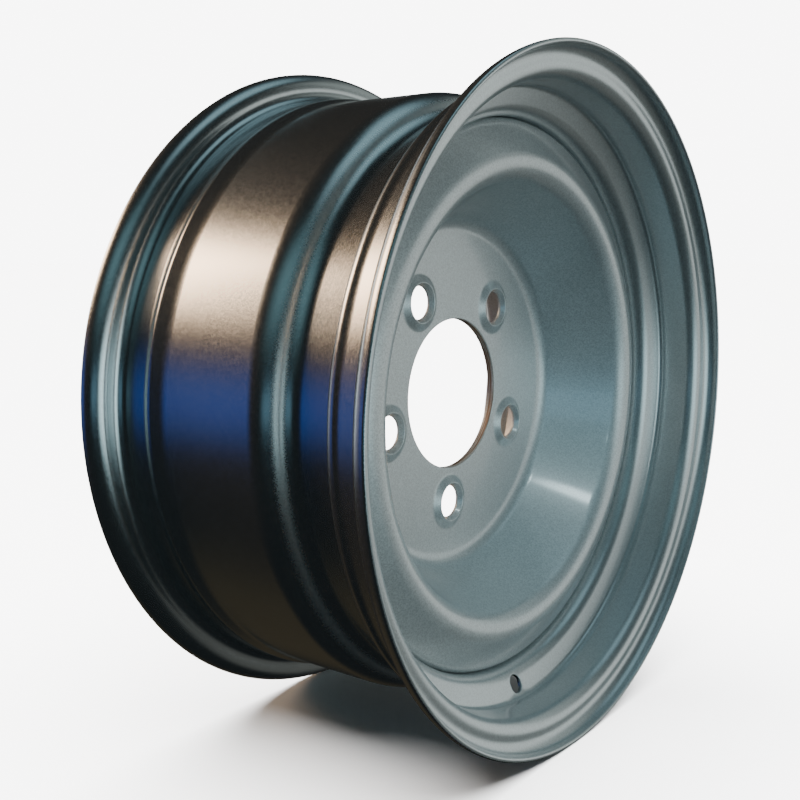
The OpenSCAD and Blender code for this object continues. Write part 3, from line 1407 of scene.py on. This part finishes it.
@dataclass
class Studio:
    """Pale floor, soft surround, lamps and the camera.

    Sizes are in metres and angles in degrees, but the camera's lens and sensor are in millimetres.
    """

    azimuth: float = -52.544
    elevation: float = 7.535
    eye: Triple = (-0.56439, -0.39446, 0.08627)
    lens: float = 48.273
    sensor: float = 36.0
    clip: tuple[float, float] = (0.01, 100.0)
    floor_half: float = 60.0
    floor_z: float = -0.2077
    floor_tone: float = 0.85
    floor_roughness: float = 0.9
    shadow_spread: float = 80.0
    backdrop: float = 8.0
    dusk: Triple = (0.012, 0.014, 0.015)
    lamp_distance: float = 3.0
    lamps: tuple[Lamp, ...] = (
        Lamp("dish_panel", -151.0, 8.0, 1.25, 0.85, (0.38, 0.8, 1.05)),
        Lamp("dish_strip", -143.0, 22.0, 0.3, 0.12, (6.0, 8.5, 9.0)),
        Lamp("dish_window", -138.0, 55.0, 0.31, 0.23, (22.0, 28.0, 29.0)),
    )
    glows: tuple[Glow, ...] = (
        Glow("bright_window", 113.0, 27.0, 10.0, 9.0, 0.45, (14.0, 9.0, 5.4)),
        Glow("warm_window", 104.0, 29.0, 26.0, 9.5, 0.6, (1.1, 0.87, 0.68)),
        Glow("blue_strip", 134.0, -2.0, 11.0, 9.0, 0.9, (0.015, 0.07, 0.36)),
        Glow("low_rear", 106.0, -2.0, 12.0, 9.0, 0.7, (0.26, 0.28, 0.4)),
        Glow("low_warm", 70.0, -46.0, 36.0, 12.0, 0.6, (0.035, 0.025, 0.01)),
        Glow("rear_fill", 76.0, 6.0, 18.0, 14.0, 0.5, (2.2, 2.3, 2.3)),
        Glow("right_side", 20.0, 0.0, 16.0, 16.0, 0.6, (0.4, 0.44, 0.44)),
        Glow("front_wall", -50.0, 0.0, 60.0, 13.0, 0.35, (0.92, 0.98, 0.95)),
        Glow("front_left", -102.0, -4.0, 18.0, 10.0, 0.4, (0.9, 1.38, 1.5)),
        Glow("near_left", -147.0, -2.0, 16.0, 5.0, 0.6, (0.14, 0.3, 0.4)),
        Glow("front_upper", -14.0, 26.0, 24.0, 15.0, 0.5, (0.38, 0.42, 0.4)),
        Glow("front_low", -30.0, -32.0, 32.0, 18.0, 0.6, (0.11, 0.11, 0.1)),
        Glow("front_sky", -50.0, 66.0, 60.0, 12.0, 0.6, (0.36, 0.56, 0.63)),
        Glow("high_side", -145.0, 36.0, 30.0, 14.0, 0.9, (0.14, 0.27, 0.3)),
    )

    def build(self) -> None:
        """Build the floor with its light, the surround and the camera."""
        self._light_floor(self._floor())
        self._surround()
        self._camera()

    def _floor(self) -> Object:
        """Lay a plain pale floor that doesn't show in the paint.

        Returns:
            The floor.
        """
        mesh = bpy.data.meshes.new("floor")
        half, corners = self.floor_half, ((-1, -1), (1, -1), (1, 1), (-1, 1))
        mesh.from_pydata([(x * half, y * half, self.floor_z) for x, y in corners], [], [(0, 1, 2, 3)])
        material = bpy.data.materials.new("pale_floor")
        material.use_nodes = True
        shader = material.node_tree.nodes["Principled BSDF"]
        shader.inputs["Base Color"].default_value = (self.floor_tone, self.floor_tone, self.floor_tone, 1.0)
        shader.inputs["Roughness"].default_value = self.floor_roughness
        mesh.materials.append(material)
        item = bpy.data.objects.new("floor", mesh)
        item.visible_glossy = False
        item.visible_diffuse = False
        bpy.context.scene.collection.objects.link(item)
        return item

    def _light_floor(self, floor: Object) -> None:
        """Light the floor alone, so that the wheel leaves a soft shadow on it.

        Args:
            floor: The floor.
        """
        item = self._light("floor_light", "SUN", floor)
        # At this strength the lit floor is as bright as the backdrop.
        item.data.energy = self.backdrop * math.pi / self.floor_tone
        item.data.angle = math.radians(self.shadow_spread)

    def light_dish(self, disc: Object) -> None:
        """Light the disc's dish from the left.

        Args:
            disc: The dressed disc.
        """
        for lamp in self.lamps:
            item = self._light(lamp.name, "AREA", disc)
            item.data.shape = "RECTANGLE"
            item.data.size, item.data.size_y = lamp.width, lamp.height
            # At this power the panel itself is as bright as its tint.
            peak = max(lamp.tint)
            item.data.color = [c / peak for c in lamp.tint]
            item.data.energy = math.pi * lamp.width * lamp.height * peak
            az, el = math.radians(lamp.azimuth), math.radians(lamp.elevation)
            way = Vector((math.cos(az) * math.cos(el), math.sin(az) * math.cos(el), math.sin(el)))
            aim = way.to_track_quat("Z", "Y").to_matrix().to_4x4()
            item.matrix_world = Matrix.Translation(way * self.lamp_distance) @ aim

    @staticmethod
    def _light(name: str, kind: str, lit: Object) -> Object:
        """Add a light that falls on one object alone.

        Args:
            name: Name of the light.
            kind: Kind of light.
            lit: The object that it lights.

        Returns:
            The light.
        """
        item = bpy.data.objects.new(name, bpy.data.lights.new(name, kind))
        item.visible_camera = False
        bpy.context.scene.collection.objects.link(item)
        receivers = bpy.data.collections.new("lit_by_" + name)
        receivers.objects.link(lit)
        item.light_linking.receiver_collection = receivers
        return item

    def _surround(self) -> None:
        """Light the wheel from soft panels, in front of a pale backdrop."""
        world = bpy.data.worlds.new("studio")
        world.use_nodes = True
        world.node_tree.nodes.clear()
        sheet = NodeSheet(world.node_tree)
        way = sheet.add("ShaderNodeTexCoord").outputs["Generated"]
        total = sheet.add("ShaderNodeCombineColor", dict(enumerate(self.dusk))).outputs[0]
        for glow in self.glows:
            total = sheet.vector("ADD", total, sheet.scaled(glow.tint, self._share(sheet, way, glow)))
        panels = sheet.add("ShaderNodeBackground", {"Color": total}).outputs[0]
        pale = sheet.add("ShaderNodeBackground", {"Strength": self.backdrop, "Color": (1.0, 1.0, 1.0, 1.0)})
        seen = sheet.add("ShaderNodeLightPath").outputs["Is Camera Ray"]
        both = sheet.add("ShaderNodeMixShader", {0: seen, 1: panels, 2: pale.outputs[0]}).outputs[0]
        sheet.add("ShaderNodeOutputWorld", {"Surface": both})
        bpy.context.scene.world = world

    @staticmethod
    def _share(sheet: NodeSheet, way: NodeSocket, glow: Glow) -> NodeSocket:
        """Tell how much of one panel shows in a direction.

        Args:
            sheet: Node helper of the surround.
            way: Direction.
            glow: The panel.

        Returns:
            Socket with a share from 0 to 1.
        """
        turned = sheet.add("ShaderNodeVectorRotate", {
            "Vector": way, "Angle": -math.radians(glow.azimuth)}, rotation_type="Z_AXIS").outputs[0]
        split = sheet.add("ShaderNodeSeparateXYZ", {0: turned}).outputs
        aside = sheet.math("ARCTAN2", split["Y"], split["X"])
        above = sheet.math("SUBTRACT", sheet.math("ARCSINE", split["Z"]), math.radians(glow.elevation))
        shares = []
        for angle, half in ((aside, glow.half_width), (above, glow.half_height)):
            dark, full = (math.radians(half) * (1.0 + glow.softness * sign) for sign in (1, -1))
            amount = sheet.math("ABSOLUTE", angle)
            shares.append(sheet.share(amount, dark, full, interpolation_type="SMOOTHSTEP"))
        return sheet.math("MULTIPLY", *shares)

    def _camera(self) -> None:
        """Set the camera at the photograph's place and angle."""
        az, el = math.radians(self.azimuth), math.radians(self.elevation)
        back = Vector((math.sin(az) * math.cos(el), -math.cos(az) * math.cos(el), math.sin(el)))
        right = Vector((math.cos(az), math.sin(az), 0.0))
        up = back.cross(right)
        data = bpy.data.cameras.new("camera")
        data.lens = self.lens
        data.sensor_width = self.sensor
        data.clip_start, data.clip_end = self.clip
        item = bpy.data.objects.new("camera", data)
        item.matrix_world = Matrix.Translation(self.eye) @ Matrix((right, up, back)).transposed().to_4x4()
        bpy.context.scene.collection.objects.link(item)
        bpy.context.scene.camera = item


# The barrel's open faces are painted 1.22 times brighter than its tyre side, which is painted light.
BARREL_PAINT = PaintFinish("barrel_silver", (0.61, 0.65, 0.66), (0.57, 0.61, 0.62),
                           face=FaceCoatWithPaintedLight(gain=1.22, metallic=0.6, roughness=0.33))
# The brown streaks on the disc's bore wall are partly painted reflection.
DISC_PAINT = PaintFinish("disc_silver", (0.77, 0.81, 0.815), (0.74, 0.78, 0.785), flake_contrast=0.3,
                         metallic=0.4, roughness=0.42, coat=1.0, coat_roughness=0.12,
                         wall=PunchedWall(radius=0.048))
WELD_PAINT = PaintFinish("weld_silver", (0.52, 0.55, 0.55), (0.44, 0.46, 0.46), roughness=0.45, peel=0.00002)


def main() -> None:
    """Build the studio and every piece of the wheel in order."""
    logging.basicConfig(level=logging.INFO, format="%(name)s: %(message)s")
    studio = Studio()
    studio.build()
    paints, shop = PaintShop(), Workshop()
    barrel = RimBarrel()
    disc = DishedDisc(barrel)
    barrel.build(shop, paints.mix(BARREL_PAINT))
    studio.light_dish(disc.build(shop, paints.mix(DISC_PAINT)))
    WeldRuns(disc).build(shop, paints.mix(WELD_PAINT))


if __name__ == "__main__":
    main()
